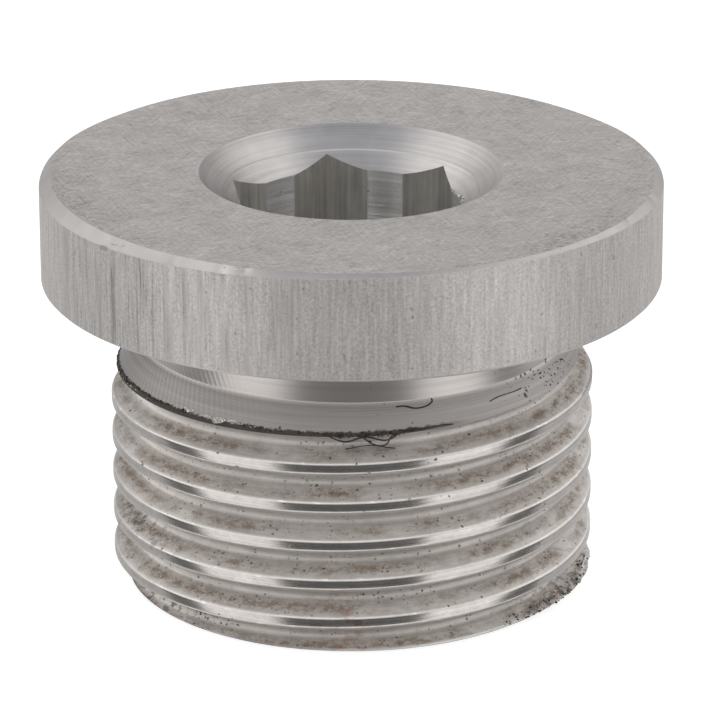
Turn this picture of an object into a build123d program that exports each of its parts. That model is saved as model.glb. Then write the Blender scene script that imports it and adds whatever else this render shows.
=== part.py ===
from build123d import *
import math
import os

# Screw plug with a collar and a hexagon socket, turned from one bar of aluminium.
# Millimetres, +Z up along the plug's axis. Z = 0 is the sealing face under the
# collar: the collar stands above it, and the threaded shank hangs below it.

# ---- driving dimensions ----------------------------------------------------

# Collar
collar_dia = 23.0
collar_height = 4.0
top_edge_chamfer = 0.34
seal_edge_chamfer = 0.1

# Neck, where the thread tool runs out, and the cone that leads from it to the thread
neck_dia = 16.0
neck_length = 2.1
run_in_angle = 30.0          # between the cone's surface and the axis

# Thread M18 x 1.5, right-hand
thread_dia = 17.96
thread_pitch = 1.5
thread_crest_flat = 0.38
thread_root_flat = 0.19
flank_angle = 30.0           # between a flank and the plane across the axis
first_crest_drop = 4.26      # from the sealing face to the first full crest, on -Y
shank_length = 11.62
end_chamfer = 0.56

# Hexagon socket
hex_across_flats = 8.0
hex_depth = 7.5              # from the top face to the end of the broached flats
hex_turn = 11.7              # of a corner, from +Y towards -X
countersink_dia = 11.24
countersink_angle = 98.0     # included
pilot_dia = 8.12             # a little over the flats, so the bore still shows in each
pilot_depth = 8.4
drill_point_angle = 118.0    # included

# ---- sizes that follow -----------------------------------------------------

OVERCUT = 0.5                # how far a cutting body stands clear of what it cuts

collar_radius = collar_dia / 2
neck_radius = neck_dia / 2
crest_radius = thread_dia / 2
flank_slope = math.tan(math.radians(flank_angle))
flank_reach = (thread_pitch - thread_crest_flat - thread_root_flat) / 2
root_radius = crest_radius - flank_reach / flank_slope


def turned(points: list[tuple[float, float]]) -> Part:
    """A body turned about the axis from its outline in (radius, height)."""
    outline = make_face(Plane.XZ * Polyline(*points, close=True))
    return revolve(outline, Axis.Z)


def turned_blank() -> Part:
    """Collar, neck, run-in cone and shank, before the thread and the socket are cut."""
    end_radius = crest_radius - end_chamfer
    cone_length = (crest_radius - neck_radius) / math.tan(math.radians(run_in_angle))
    return turned([
        (0, collar_height),
        (collar_radius - top_edge_chamfer, collar_height),
        (collar_radius, collar_height - top_edge_chamfer),
        (collar_radius, seal_edge_chamfer),
        (collar_radius - seal_edge_chamfer, 0),
        (neck_radius, 0),
        (neck_radius, -neck_length),
        (crest_radius, -neck_length - cone_length),
        (crest_radius, -shank_length + end_chamfer),
        (end_radius, -shank_length),
        (0, -shank_length),
    ])


def groove_profile(height: float) -> Face:
    """The thread tool's form in the XZ plane: two flanks and a flat root."""
    mouth_radius = crest_radius + OVERCUT
    half_root = thread_root_flat / 2
    half_mouth = half_root + (mouth_radius - root_radius) * flank_slope
    form = Polyline(
        (root_radius, height - half_root),
        (mouth_radius, height - half_mouth),
        (mouth_radius, height + half_mouth),
        (root_radius, height + half_root),
        close=True,
    )
    return make_face(Plane.XZ * form)


def thread_groove() -> Part:
    """What the thread tool removes: its form carried along a helix, from below up.

    It starts under the end face and leaves the metal at the neck. The helix is laid in
    half turns, so that none of the groove's faces wraps round the axis.
    """
    # On -Y the groove's middle lies half a pitch under the first full crest. The
    # start is that point, turned to +X and taken whole turns down.
    quarter_turn = thread_pitch / 4
    half_turn = thread_pitch / 2
    first_groove = -first_crest_drop - half_turn + quarter_turn
    turns_down = math.ceil((shank_length + first_groove) / thread_pitch) + 1
    start = first_groove - turns_down * thread_pitch
    count = math.ceil((-neck_length - start) / half_turn)
    climb = Wire([
        Location((0, 0, start + i * half_turn)) * Rotation(0, 0, 180 * i)
        * Edge.make_helix(thread_pitch, half_turn, root_radius)
        for i in range(count)
    ])
    return sweep(groove_profile(start), path=climb, is_frenet=True)


def socket() -> Part:
    """The hole for the key: countersink, drilled pilot bore and broached hexagon."""
    half_sink = math.radians(countersink_angle / 2)
    half_point = math.radians(drill_point_angle / 2)
    pilot_radius = pilot_dia / 2
    rim_radius = countersink_dia / 2
    shoulder = collar_height - pilot_depth
    mouth = collar_height + OVERCUT
    sink_depth = (rim_radius - pilot_radius) / math.tan(half_sink)
    bore = turned([
        (0, mouth),
        (rim_radius + OVERCUT * math.tan(half_sink), mouth),
        (pilot_radius, collar_height - sink_depth),
        (pilot_radius, shoulder),
        (0, shoulder - pilot_radius / math.tan(half_point)),
    ])
    # The polygon's first corner lies on +X, a quarter turn from +Y.
    hexagon = RegularPolygon(hex_across_flats / 2, 6, major_radius=False)
    broach = extrude(Rotation(0, 0, 90 + hex_turn) * hexagon, hex_depth)
    return bore + Location((0, 0, collar_height - hex_depth)) * broach


os.makedirs("parts", exist_ok=True)
screw_plug = turned_blank() - thread_groove() - socket()
screw_plug.label = "screw_plug"
export_step(screw_plug, "parts/screw_plug.step")
print("screw_plug volume", round(screw_plug.volume, 1), "mm3, valid", screw_plug.is_valid)
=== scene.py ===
"""Hexagon socket screw plug of bare turned aluminium, used and a little dirty.

The plug's axis is Z and its sealing face is at Z = 0. Pieces are modelled in millimetres
and brought to metres when they are finished.
"""

import logging
import math
import random
from collections.abc import Callable
from dataclasses import dataclass, field
from enum import Enum

import bpy
from mathutils import Matrix, Vector


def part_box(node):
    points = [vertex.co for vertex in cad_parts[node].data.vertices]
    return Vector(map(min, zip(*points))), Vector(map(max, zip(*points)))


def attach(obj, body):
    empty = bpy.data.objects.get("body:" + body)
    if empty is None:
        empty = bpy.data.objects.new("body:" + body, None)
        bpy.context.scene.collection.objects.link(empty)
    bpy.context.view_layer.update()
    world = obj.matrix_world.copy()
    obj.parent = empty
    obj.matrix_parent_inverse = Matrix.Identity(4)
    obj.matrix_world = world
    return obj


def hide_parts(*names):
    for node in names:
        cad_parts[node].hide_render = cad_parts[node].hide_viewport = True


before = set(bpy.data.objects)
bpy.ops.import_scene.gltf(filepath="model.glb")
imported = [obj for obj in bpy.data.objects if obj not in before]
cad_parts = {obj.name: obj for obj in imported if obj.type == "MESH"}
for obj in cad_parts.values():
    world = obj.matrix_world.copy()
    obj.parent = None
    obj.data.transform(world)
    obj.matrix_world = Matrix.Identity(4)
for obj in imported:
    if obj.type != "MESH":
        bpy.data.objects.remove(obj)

LOG = logging.getLogger("screw_plug")
MM = 0.001                      # metres in a millimetre
BODY = "root"
NODE = "screw_plug"

Colour = tuple[float, float, float]
Point = tuple[float, float]
Place = tuple[float, float, float]      # bearing in degrees, radius and height in mm
Stretch = tuple[float, float, float]    # middle and reach in degrees, and by how much

# How near counts, in mm
MERGE_WITHIN = 0.0005           # vertices that become one
CUT_WITHIN = 0.00001            # a vertex and a cutting plane
IN_PLANE = 0.01                 # a face and the plane or cylinder it belongs to

# The parts of a face's normal along the axis and away from it, by which zones are told apart
TOP_LEAST_UP = 0.93
RIM_MOST_UP = 0.985
SIDE_LEAST_OUT = 0.94
SIDE_MOST_UP = 0.35
SOCKET_MOST_OUT = -0.3
SINK_LEAST_UP = 0.3


class Zone(Enum):
    """The kinds of surface on the plug, in the order of its material slots."""

    TOP = 0
    SKIN = 1
    EDGE = 2
    NECK = 3
    THREAD = 4
    SINK = 5
    BORE = 6
    BROACH = 7
    FACED = 8


# ---- outlines --------------------------------------------------------------


@dataclass(frozen=True)
class Corner:
    """A corner of a turned outline, and the radius it is rounded to.

    Args:
        radius: Distance from the axis, in mm.
        height: Place along the axis, in mm.
        round_to: Radius of the rounding, or 0 for a sharp corner.
        steps: Straight lines that the rounding is made of.
    """

    radius: float
    height: float
    round_to: float = 0.0
    steps: int = 4


def rounded(corners: list[Corner]) -> list[Point]:
    """Works out an outline whose corners are rounded with arcs.

    Args:
        corners: The corners in order. The first and the last stay sharp.

    Returns:
        The outline's points as (radius, height), in mm.
    """
    points: list[Point] = []
    for i, corner in enumerate(corners):
        here = Vector((corner.radius, corner.height))
        if corner.round_to == 0 or i in (0, len(corners) - 1):
            points.append((here.x, here.y))
            continue
        before = Vector((corners[i - 1].radius, corners[i - 1].height))
        after = Vector((corners[i + 1].radius, corners[i + 1].height))
        back, ahead = (before - here).normalized(), (after - here).normalized()
        half_angle = back.angle(ahead) / 2
        bisector = (back + ahead).normalized()
        centre = here + bisector * (corner.round_to / math.sin(half_angle))
        first = here + back * (corner.round_to / math.tan(half_angle)) - centre
        last = here + ahead * (corner.round_to / math.tan(half_angle)) - centre
        turn = first.angle_signed(last)
        for k in range(corner.steps + 1):
            angle = -turn * k / corner.steps
            cosine, sine = math.cos(angle), math.sin(angle)
            arm = Vector((first.x * cosine - first.y * sine, first.x * sine + first.y * cosine))
            points.append(((centre + arm).x, (centre + arm).y))
    return points


# ---- mesh tools ------------------------------------------------------------


class Bench:
    """Short calls for the modelling steps that every piece shares."""

    @staticmethod
    def clear_selection() -> None:
        """Leaves edit mode and deselects every object."""
        if bpy.context.object and bpy.context.object.mode != "OBJECT":
            bpy.ops.object.mode_set(mode="OBJECT")
        bpy.ops.object.select_all(action="DESELECT")

    @staticmethod
    def pick(piece: bpy.types.Object) -> None:
        """Makes one piece the only selected and the active one."""
        Bench.clear_selection()
        piece.select_set(True)
        bpy.context.view_layer.objects.active = piece

    @staticmethod
    def edit(piece: bpy.types.Object, mode: str = "VERT") -> None:
        """Opens a piece in edit mode with nothing selected.

        Args:
            piece: The piece to open.
            mode: What is selected there: VERT, EDGE or FACE.
        """
        Bench.pick(piece)
        bpy.ops.object.mode_set(mode="EDIT")
        bpy.ops.mesh.select_mode(type=mode)
        bpy.ops.mesh.select_all(action="DESELECT")

    @staticmethod
    def close() -> None:
        """Goes back to object mode."""
        bpy.ops.object.mode_set(mode="OBJECT")

    @staticmethod
    def choose(piece: bpy.types.Object, test: Callable[[Vector], bool]) -> None:
        """Selects the vertices that pass a test, for the next edit.

        Args:
            piece: The piece, in object mode.
            test: A function of a vertex's place that says whether it is selected.
        """
        Bench.edit(piece)
        Bench.close()
        for vertex in piece.data.vertices:
            vertex.select = test(vertex.co)
        bpy.ops.object.mode_set(mode="EDIT")

    @staticmethod
    def combine(piece: bpy.types.Object, tool: bpy.types.Object, operation: str) -> None:
        """Cuts or trims a piece with a tool body, which is then thrown away.

        Args:
            piece: The closed piece that is kept.
            tool: The closed body that cuts it.
            operation: INTERSECT or DIFFERENCE.
        """
        Bench.pick(piece)
        cut = piece.modifiers.new("cut", "BOOLEAN")
        cut.operation = operation
        cut.object = tool
        cut.solver = "MANIFOLD"
        bpy.ops.object.modifier_apply(modifier=cut.name)
        bpy.data.objects.remove(tool, do_unlink=True)

    @staticmethod
    def face_out(piece: bpy.types.Object) -> None:
        """Merges doubled vertices and turns every face outwards."""
        Bench.edit(piece)
        bpy.ops.mesh.select_all(action="SELECT")
        bpy.ops.mesh.remove_doubles(threshold=MERGE_WITHIN)
        bpy.ops.mesh.normals_make_consistent(inside=False)
        Bench.close()

    @staticmethod
    def to_metres(piece: bpy.types.Object) -> None:
        """Brings a finished piece from millimetres to metres, with its place in its mesh."""
        Bench.pick(piece)
        bpy.ops.object.transform_apply(location=True, rotation=True, scale=True)
        piece.scale = (MM, MM, MM)
        bpy.ops.object.transform_apply(location=True, rotation=True, scale=True)


@dataclass
class Lathe:
    """Turns a closed body from its outline, ring by ring, from the bottom face up.

    Args:
        name: The body's name.
        facets: Flat sides round the axis.
        outline: Points (radius, height) from the bottom face's edge to the last ring.
        closes_at: Height on the axis at which the last ring closes.
    """

    name: str
    facets: int
    outline: list[Point]
    closes_at: float

    def build(self) -> bpy.types.Object:
        """Grows the body from its bottom face.

        Returns:
            The closed body.
        """
        Bench.clear_selection()
        radius, height = self.outline[0]
        bpy.ops.mesh.primitive_circle_add(
            vertices=self.facets, radius=radius, fill_type="NGON", location=(0, 0, 0))
        body = bpy.context.object
        body.name = self.name
        bpy.ops.object.mode_set(mode="EDIT")
        bpy.ops.mesh.select_mode(type="EDGE")
        bpy.ops.transform.translate(value=(0, 0, height))
        for next_radius, next_height in self.outline[1:]:
            self.grow(next_height - height, next_radius / radius)
            radius, height = next_radius, next_height
        self.grow(self.closes_at - height, 1.0)
        bpy.ops.mesh.merge(type="CENTER")
        Bench.close()
        Bench.face_out(body)
        return body

    @staticmethod
    def grow(rise: float, widen: float) -> None:
        """Extrudes the open ring and resizes it about the axis.

        Args:
            rise: How far the new ring stands above the last, in mm.
            widen: Its radius as a share of the last one's.
        """
        bpy.ops.mesh.extrude_edges_move(TRANSFORM_OT_translate={"value": (0, 0, rise)})
        bpy.ops.transform.resize(value=(widen, widen, 1), center_override=(0, 0, 0))


# ---- the plug --------------------------------------------------------------


@dataclass
class Nick:
    """A place where the metal of an edge is pushed in, or pulled out into a burr.

    Args:
        bearing: Angle from the front (-Y), positive to the right, in degrees.
        radius: Distance from the axis, in mm.
        height: Place along the axis, in mm.
        reach: How far round it the metal moves, in mm.
        inward: How far the metal is pushed to the axis, in mm. Below 0 it is pulled out.
        down: How far it is pushed down, in mm.
    """

    bearing: float
    radius: float
    height: float
    reach: float
    inward: float
    down: float


@dataclass
class PlugBody:
    """The plug as one closed body: collar, neck, thread and key socket. Sizes are in mm."""

    collar_radius: float
    collar_height: float
    shank_length: float
    rim_chamfer: float = 0.35
    # The rim's chamfer is uneven: (cosine, sine) parts of its width once and twice round, in mm.
    rim_once: Point = (-0.149, -0.031)
    rim_twice: Point = (-0.053, -0.074)
    # It is also slimmer about a bearing on both sides.
    rim_slimmer: Stretch = (107.0, 26.0, 0.15)
    side_rings: tuple[float, ...] = (0.15, 0.4, 0.9, 1.8)     # below the rim, to hold its nicks
    face_rings: tuple[float, ...] = (0.3, 0.7, 1.4)           # inside the rim, for the same
    seal_edge: float = 0.1
    neck_radius: float = 8.0
    neck_length: float = 2.1
    run_in_angle: float = 30.0
    crest_radius: float = 8.98
    pitch: float = 1.5
    crest_flat: float = 0.38
    root_flat: float = 0.19
    crest_round: float = 0.13
    root_round: float = 0.2
    flank_angle: float = 30.0
    first_crest_drop: float = 4.26
    end_chamfer: float = 0.56
    key_flats: float = 8.0
    key_depth: float = 7.5
    key_turn: float = 11.7
    sink_radius: float = 5.62
    sink_angle: float = 98.0
    step_radius: float = 4.75          # where the countersink was cut in two passes
    step_height: float = 0.02
    bore_radius: float = 4.06
    bore_depth: float = 8.4
    point_angle: float = 118.0
    collar_facets: int = 480
    thread_facets: int = 360
    sink_rings: int = 12               # in each pass of the countersink
    cone_margin: float = 0.012         # how far under the run-in cone a face of it may lie
    cone_reach: float = 1.7            # from the neck down to the cone's last face
    rim_reach: float = 0.06            # about the rim's two edges, to find their vertices
    side_reach: float = 1.0            # from the rim down to where its unevenness ends
    smooth_below: float = 24.0         # edges flatter than this, in degrees, are shaded smooth
    spare: float = 0.35                # metal outside the crests before the thread is cut
    nicks: list[Nick] = field(default_factory=lambda: [
        Nick(-62, 11.3, 4.0, 0.25, 0.02, 0.07),
        Nick(-50, 11.5, 3.72, 0.35, 0.09, 0.0),
        Nick(-45, 11.5, 3.74, 0.2, 0.06, 0.03),
        Nick(-33, 11.5, 3.76, 0.25, 0.05, 0.02),
        Nick(-23, 11.4, 3.85, 0.35, 0.07, 0.06),
        Nick(-19, 11.3, 3.98, 0.2, 0.05, 0.05),
        Nick(53, 11.5, 3.45, 0.15, 0.05, 0.0),
        Nick(61, 11.4, 3.95, 0.3, 0.04, 0.05),
        Nick(74, 11.35, 3.97, 0.3, 0.05, 0.05),
        Nick(150, 11.4, 3.9, 0.3, 0.06, 0.05),
        Nick(-160, 11.45, 3.85, 0.35, 0.07, 0.04),
    ])
    burrs: list[Nick] = field(default_factory=lambda: [
        Nick(52, 8.74, -11.2, 1.2, -0.13, 0.0),
        Nick(60, 8.76, -11.18, 1.2, -0.15, 0.0),
        Nick(68, 8.72, -11.13, 1.2, -0.17, 0.0),
        Nick(77, 8.72, -11.1, 1.2, -0.16, 0.0),
        Nick(87, 8.78, -11.08, 1.0, -0.1, 0.0),
    ])

    def sink_height(self, radius: float) -> float:
        """Height of the countersink's cone at a radius, in mm."""
        slope = math.tan(math.radians(self.sink_angle / 2))
        return self.collar_height - (self.sink_radius - radius) / slope

    def down_sink(self, outer: float, inner: float) -> list[Corner]:
        """Corners down the countersink's cone between two radii, without its ends."""
        shares = [1 - k / self.sink_rings for k in range(1, self.sink_rings)]
        radii = [inner + (outer - inner) * share for share in shares]
        return [Corner(radius, self.sink_height(radius)) for radius in radii]

    def outline(self) -> list[Point]:
        """The turned outline, from the end face's edge up and round into the bore.

        Returns:
            Points (radius, height), in mm.
        """
        envelope = self.crest_radius + self.spare
        lead = math.tan(math.radians(self.run_in_angle))
        end = -self.shank_length
        edge = self.end_chamfer + self.spare
        top = self.collar_height
        corners = [
            Corner(self.crest_radius - self.end_chamfer, end),
            Corner(envelope, end + edge),
            Corner(envelope, -self.neck_length - (envelope - self.neck_radius) / lead),
            Corner(self.neck_radius, -self.neck_length, 0.12),
            Corner(self.neck_radius, 0, 0.08),
            Corner(self.collar_radius - self.seal_edge, 0, 0.03),
            Corner(self.collar_radius, self.seal_edge, 0.03),
            *[Corner(self.collar_radius, top - self.rim_chamfer - drop)
              for drop in reversed(self.side_rings)],
            Corner(self.collar_radius, top - self.rim_chamfer, 0.035),
            Corner(self.collar_radius - self.rim_chamfer, top, 0.035),
            *[Corner(self.collar_radius - self.rim_chamfer - inward, top)
              for inward in self.face_rings],
            Corner(self.sink_radius, top, 0.05),
            *self.down_sink(self.sink_radius, self.step_radius),
            Corner(self.step_radius, self.sink_height(self.step_radius) + self.step_height),
            Corner(self.step_radius - 0.01, self.sink_height(self.step_radius)),
            *self.down_sink(self.step_radius, self.bore_radius),
            Corner(self.bore_radius, self.sink_height(self.bore_radius)),
            Corner(self.bore_radius, top - self.bore_depth),
        ]
        return rounded(corners)

    def blank(self) -> bpy.types.Object:
        """The turned body before its thread and its hexagon are cut."""
        drop = self.bore_radius / math.tan(math.radians(self.point_angle / 2))
        lathe = Lathe(NODE + "_body", self.collar_facets, self.outline(),
                      self.collar_height - self.bore_depth - drop)
        return lathe.build()

    def groove_outline(self) -> list[Point]:
        """One pitch of the thread's section, from a groove's middle up to the next.

        Returns:
            Points (radius, height), in mm, with the groove's middle at height 0.
        """
        slope = math.tan(math.radians(self.flank_angle))
        reach = (self.pitch - self.crest_flat - self.root_flat) / 2
        root = self.crest_radius - reach / slope
        low, high = self.root_flat / 2, self.root_flat / 2 + reach
        apex = root - low / slope
        # The root's arc stands on the flanks and just touches the root's flat.
        corners = [
            Corner(apex, -self.pitch, self.root_round, 8),
            Corner(self.crest_radius, -self.pitch + high, self.crest_round, 4),
            Corner(self.crest_radius, -high, self.crest_round, 4),
            Corner(apex, 0, self.root_round, 8),
            Corner(self.crest_radius, high, self.crest_round, 4),
            Corner(self.crest_radius, self.pitch - high, self.crest_round, 4),
            Corner(apex, self.pitch, self.root_round, 8),
            Corner(self.crest_radius, self.pitch + high),
        ]
        line = rounded(corners)
        start = min(range(len(line)), key=lambda i: abs(line[i][1]) + abs(line[i][0] - apex) * 0.01)
        stop = min(range(len(line)), key=lambda i: abs(line[i][1] - self.pitch))
        return line[start:stop + 1]

    def thread_body(self) -> bpy.types.Object:
        """A threaded rod with a wide head, which leaves the collar alone when they are crossed.

        Returns:
            The closed tool body.
        """
        line = self.groove_outline()
        # On -Y a groove's middle lies half a pitch under the first full crest, and a
        # quarter of a pitch higher on +X, where the outline is drawn.
        groove = -self.first_crest_drop - self.pitch / 2 + self.pitch / 4
        turns_below = math.ceil((groove + self.shank_length) / self.pitch) + 2
        turns = turns_below + math.ceil(-groove / self.pitch) + 2
        start = groove - turns_below * self.pitch
        Bench.clear_selection()
        bpy.ops.mesh.primitive_plane_add(size=1)
        rod = bpy.context.object
        rod.name = "thread_rod"
        bpy.ops.object.mode_set(mode="EDIT")
        bpy.ops.mesh.merge(type="CENTER")
        bpy.ops.transform.translate(value=(line[0][0], 0, start + line[0][1]))
        for here, there in zip(line, line[1:]):
            step = (there[0] - here[0], 0, there[1] - here[1])
            bpy.ops.mesh.extrude_vertices_move(TRANSFORM_OT_translate={"value": step})
        Bench.close()
        screw = rod.modifiers.new("turns", "SCREW")
        screw.axis = "Z"
        screw.angle = math.tau
        screw.screw_offset = self.pitch
        screw.iterations = turns
        screw.steps = self.thread_facets
        screw.render_steps = self.thread_facets
        bpy.ops.object.modifier_apply(modifier=screw.name)
        Bench.edit(rod)
        bpy.ops.mesh.select_all(action="SELECT")
        bpy.ops.mesh.remove_doubles(threshold=MERGE_WITHIN)
        self.trim(-self.shank_length - 1.0, False)
        self.trim(-self.neck_length / 2, True)
        # The cut end is still selected, and grows into the head.
        wide = 2.5 * self.collar_radius / self.crest_radius
        bpy.ops.mesh.extrude_region_move(TRANSFORM_OT_translate={"value": (0, 0, 0)})
        bpy.ops.transform.resize(value=(wide, wide, 1), center_override=(0, 0, 0))
        bpy.ops.mesh.extrude_region_move(
            TRANSFORM_OT_translate={"value": (0, 0, 3 * self.collar_height)})
        Bench.close()
        Bench.face_out(rod)
        return rod

    @staticmethod
    def trim(height: float, above: bool) -> None:
        """Cuts the open body across the axis and closes the cut.

        Args:
            height: Where the cut is, in mm.
            above: Whether what is above the cut goes, and not what is below it.
        """
        bpy.ops.mesh.select_all(action="SELECT")
        bpy.ops.mesh.bisect(plane_co=(0, 0, height), plane_no=(0, 0, 1), use_fill=True,
                            clear_inner=not above, clear_outer=above, threshold=CUT_WITHIN)

    def key_body(self) -> bpy.types.Object:
        """The broach: a hexagonal bar that stands in the socket."""
        Bench.clear_selection()
        across_corners = self.key_flats / 2 / math.cos(math.pi / 6)
        floor = self.collar_height - self.key_depth
        height = self.key_depth + 1.0
        bpy.ops.mesh.primitive_cylinder_add(
            vertices=6, radius=across_corners, depth=height, location=(0, 0, floor + height / 2),
            rotation=(0, 0, math.radians(self.key_turn)))
        bar = bpy.context.object
        bar.name = "broach"
        bpy.ops.object.transform_apply(location=True, rotation=True, scale=True)
        return bar

    def rim_excess(self, place: Vector) -> float:
        """How much wider the rim's chamfer is at a bearing than on average, in mm."""
        bearing = math.atan2(place.x, -place.y)
        once = self.rim_once[0] * math.cos(bearing) + self.rim_once[1] * math.sin(bearing)
        twice = self.rim_twice[0] * math.cos(2 * bearing) + self.rim_twice[1] * math.sin(2 * bearing)
        centre, reach, less = self.rim_slimmer
        off = min(1.0, abs(abs(math.degrees(bearing)) - centre) / reach)
        return once + twice - less * (1 + math.cos(math.pi * off)) / 2

    def shape_rim(self, body: bpy.types.Object) -> None:
        """Makes the rim's chamfer wide on one side and thin on the other."""
        top = self.collar_height
        inner = self.collar_radius - self.rim_chamfer
        low = top - self.rim_chamfer
        for vertex in body.data.vertices:
            place = vertex.co
            radius = math.hypot(place.x, place.y)
            wider = self.rim_excess(place)
            if place.z > top - self.rim_reach and abs(radius - inner) < self.rim_reach:
                place.x *= 1 - wider / radius
                place.y *= 1 - wider / radius
            elif max(abs(place.z - low), abs(radius - self.collar_radius)) < self.rim_reach:
                place.z -= wider
            elif low - self.side_reach < place.z < low and radius > self.collar_radius - IN_PLANE:
                place.z -= wider

    def dent(self, body: bpy.types.Object, nick: Nick) -> None:
        """Moves the metal at one nick, less and less out to its reach.

        Args:
            body: The plug.
            nick: Where and how far.
        """
        bearing = math.radians(nick.bearing)
        out = Vector((math.sin(bearing), -math.cos(bearing), 0))
        centre = out * nick.radius + Vector((0, 0, nick.height))
        core = 0.3 * nick.reach + 0.05          # where the metal moves all the way
        Bench.choose(body, lambda place: (place - centre).length < core)
        bpy.ops.transform.translate(
            value=out * -nick.inward - Vector((0, 0, nick.down)),
            use_proportional_edit=True, proportional_edit_falloff="SHARP",
            proportional_size=nick.reach)
        Bench.close()

    def zone_of(self, place: Vector, normal: Vector) -> Zone:
        """Names the kind of surface at a place on the finished body.

        Args:
            place: The middle of a face, in mm.
            normal: The face's direction.

        Returns:
            The zone.
        """
        radius = math.hypot(place.x, place.y)
        outward = (normal.x * place.x + normal.y * place.y) / max(radius, 1e-6)
        if normal.z > TOP_LEAST_UP and place.z > self.collar_height - self.rim_chamfer:
            return Zone.TOP
        if radius > self.collar_radius - 2 * self.rim_chamfer and place.z > 0 and normal.z < RIM_MOST_UP:
            return Zone.SKIN if outward > SIDE_LEAST_OUT and normal.z < SIDE_MOST_UP else Zone.EDGE
        if outward < SOCKET_MOST_OUT and place.z > self.collar_height - self.bore_depth - IN_PLANE:
            if normal.z > SINK_LEAST_UP:
                return Zone.SINK
            return Zone.BORE if abs(radius - self.bore_radius) < 2 * IN_PLANE else Zone.BROACH
        if radius < self.collar_radius / 2 and place.z > -self.shank_length + IN_PLANE:
            return Zone.BORE if normal.z > 0 else Zone.BROACH
        under_collar = place.z > -5 * IN_PLANE and radius > self.neck_radius
        if under_collar or place.z < -self.shank_length + IN_PLANE:
            return Zone.FACED
        lead = math.tan(math.radians(self.run_in_angle))
        cone = self.neck_radius + (-self.neck_length - place.z) * lead
        if radius > cone - self.cone_margin and place.z > -self.neck_length - self.cone_reach:
            return Zone.NECK
        return Zone.THREAD

    def dress(self, body: bpy.types.Object, finishes: dict[Zone, bpy.types.Material]) -> None:
        """Gives every face the finish of its zone.

        Args:
            body: The finished body.
            finishes: A material for each zone.
        """
        body.data.materials.clear()
        for zone in Zone:
            body.data.materials.append(finishes[zone])
        for face in body.data.polygons:
            face.material_index = self.zone_of(face.center, face.normal).value

    def build(self, finishes: dict[Zone, bpy.types.Material]) -> bpy.types.Object:
        """Models, cuts and dresses the plug.

        Args:
            finishes: A material for each zone.

        Returns:
            The finished piece, which stands for the CAD node.
        """
        body = self.blank()
        self.shape_rim(body)
        for nick in self.nicks:
            self.dent(body, nick)
        Bench.combine(body, self.thread_body(), "INTERSECT")
        Bench.combine(body, self.key_body(), "DIFFERENCE")
        for nick in self.burrs:
            self.dent(body, nick)
        self.dress(body, finishes)
        Bench.pick(body)
        bpy.ops.object.shade_smooth_by_angle(angle=math.radians(self.smooth_below))
        Bench.to_metres(body)
        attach(body, BODY)
        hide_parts(NODE)
        return body


# ---- finishes --------------------------------------------------------------
#
# In the finishes, the scale of a noise is in cells per mm, a height is in mm from the
# sealing face, and a stretch of bearings is its middle and its reach, in degrees.


class Value:
    """What a node gives, which can be reckoned with like a number.

    Args:
        graph: The material's nodes.
        socket: The node's output.
    """

    def __init__(self, graph: "Graph", socket: bpy.types.NodeSocket) -> None:
        """Keeps the output with its graph."""
        self.graph = graph
        self.socket = socket

    def __add__(self, other: "Value | float") -> "Value":
        """The sum."""
        return self.graph.math("ADD", self, other)

    def __sub__(self, other: "Value | float") -> "Value":
        """The difference."""
        return self.graph.math("SUBTRACT", self, other)

    def __rsub__(self, other: float) -> "Value":
        """A plain number less this value."""
        return self.graph.math("SUBTRACT", other, self)

    def __mul__(self, other: "Value | float") -> "Value":
        """The product."""
        return self.graph.math("MULTIPLY", self, other)

    def __truediv__(self, other: "Value | float") -> "Value":
        """The quotient."""
        return self.graph.math("DIVIDE", self, other)

    def __abs__(self) -> "Value":
        """The value without its sign."""
        return self.graph.math("ABSOLUTE", self)

    __radd__ = __add__
    __rmul__ = __mul__

    def most(self, other: "Value") -> "Value":
        """The greater of two values."""
        return self.graph.math("MAXIMUM", self, other)

    def step(self, low: float, high: float, first: float = 0.0, last: float = 1.0) -> "Value":
        """A smooth step from first to last as the value goes from low to high."""
        made = self.graph.node("ShaderNodeMapRange", interpolation_type="SMOOTHSTEP")
        self.graph.feed(made.inputs["Value"], self)
        for key, number in (("From Min", low), ("From Max", high), ("To Min", first), ("To Max", last)):
            made.inputs[key].default_value = number
        return self.graph.out(made)

    def hump(self, centre: float, reach: float) -> "Value":
        """A smooth hump that is 1 at a centre and 0 beyond its reach."""
        return abs(self - centre).step(0.0, reach, 1.0, 0.0)

    def toward(self, other: "Value | float", share: "Value") -> "Value":
        """This value, gone over to another one by a share."""
        return self * (1.0 - share) + share * other


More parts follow.
